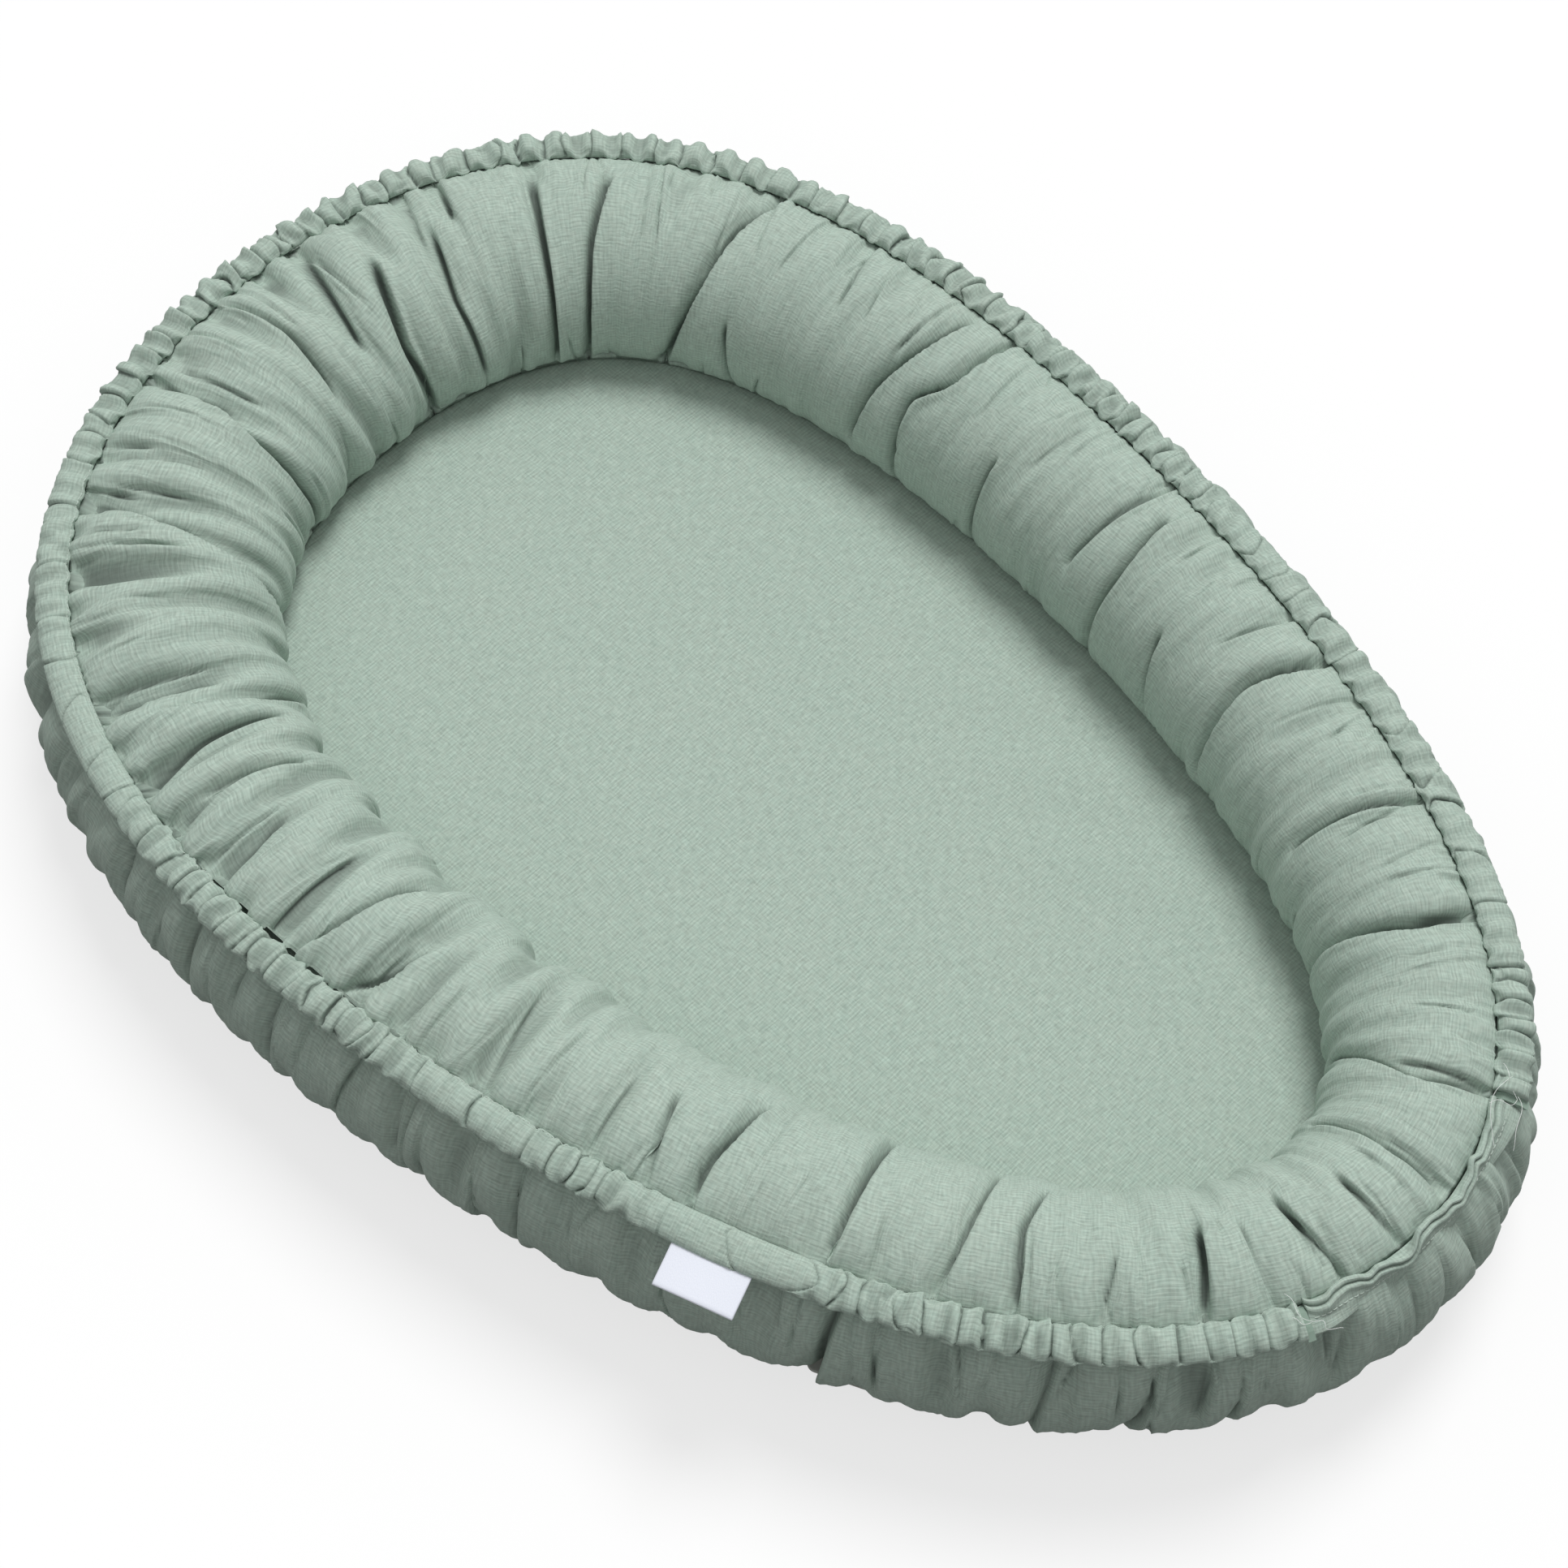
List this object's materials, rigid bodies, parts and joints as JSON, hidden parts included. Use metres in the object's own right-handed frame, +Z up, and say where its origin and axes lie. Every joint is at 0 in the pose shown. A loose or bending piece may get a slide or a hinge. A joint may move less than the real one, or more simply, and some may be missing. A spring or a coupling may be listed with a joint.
{
  "type": "infant lounger",
  "caption": "Egg-shaped padded ring with a gathered muslin cover round a flat padded lying surface, zipped underneath.",
  "frame": {"origin": "centre of the outline, on the floor that the padded ring rests on", "axes": "+Z up, +Y along the nest towards the head end, +X to the right of a baby's-eye view from the foot"},
  "size_m": [0.5719, 0.8369, 0.1153],
  "materials": {
    "muslin": "crinkled cotton muslin, matt",
    "wadding": "white polyester fibre",
    "elastic": "woven elastic, matt",
    "thread": "close zigzag stitching",
    "zip_tape": "woven tape, matt",
    "nylon": "semi-matt nylon",
    "zinc": "satin zinc alloy",
    "label": "smooth satin weave, bare",
    "care_label": "smooth satin weave, bare"
  },
  "bodies": {
    "nest": {"bolster_cover_upper": "muslin", "bolster_cover_lower": "muslin", "bolster_filling": "wadding", "casing_gathered": "muslin", "casing_foot": "muslin", "elastic_band": "elastic", "bar_tack_right": "thread", "bar_tack_left": "thread", "base_sheet_top": "muslin", "mattress_pad": "wadding", "base_sheet_under": "muslin", "zip_tape_left": "zip_tape", "zip_tape_right": "zip_tape", "zip_coil_left": "nylon", "zip_coil_right": "nylon", "zip_stop_head": "nylon", "zip_stop_foot": "nylon", "side_label": "label", "care_label": "care_label"},
    "slider": {"zip_slider": "zinc"},
    "puller": {"zip_puller": "zinc"}
  },
  "joints": [
    {"name": "zip_slide", "type": "slide", "parent": "nest", "child": "slider", "axis": [0, -1, 0], "range_m": [0, 0.405]},
    {"name": "puller_turn", "type": "hinge", "parent": "slider", "child": "puller", "pos_m": [0, 0.2027, 0.0062], "axis": [-1, 0, 0], "range_deg": [0, 180]}
  ]
}
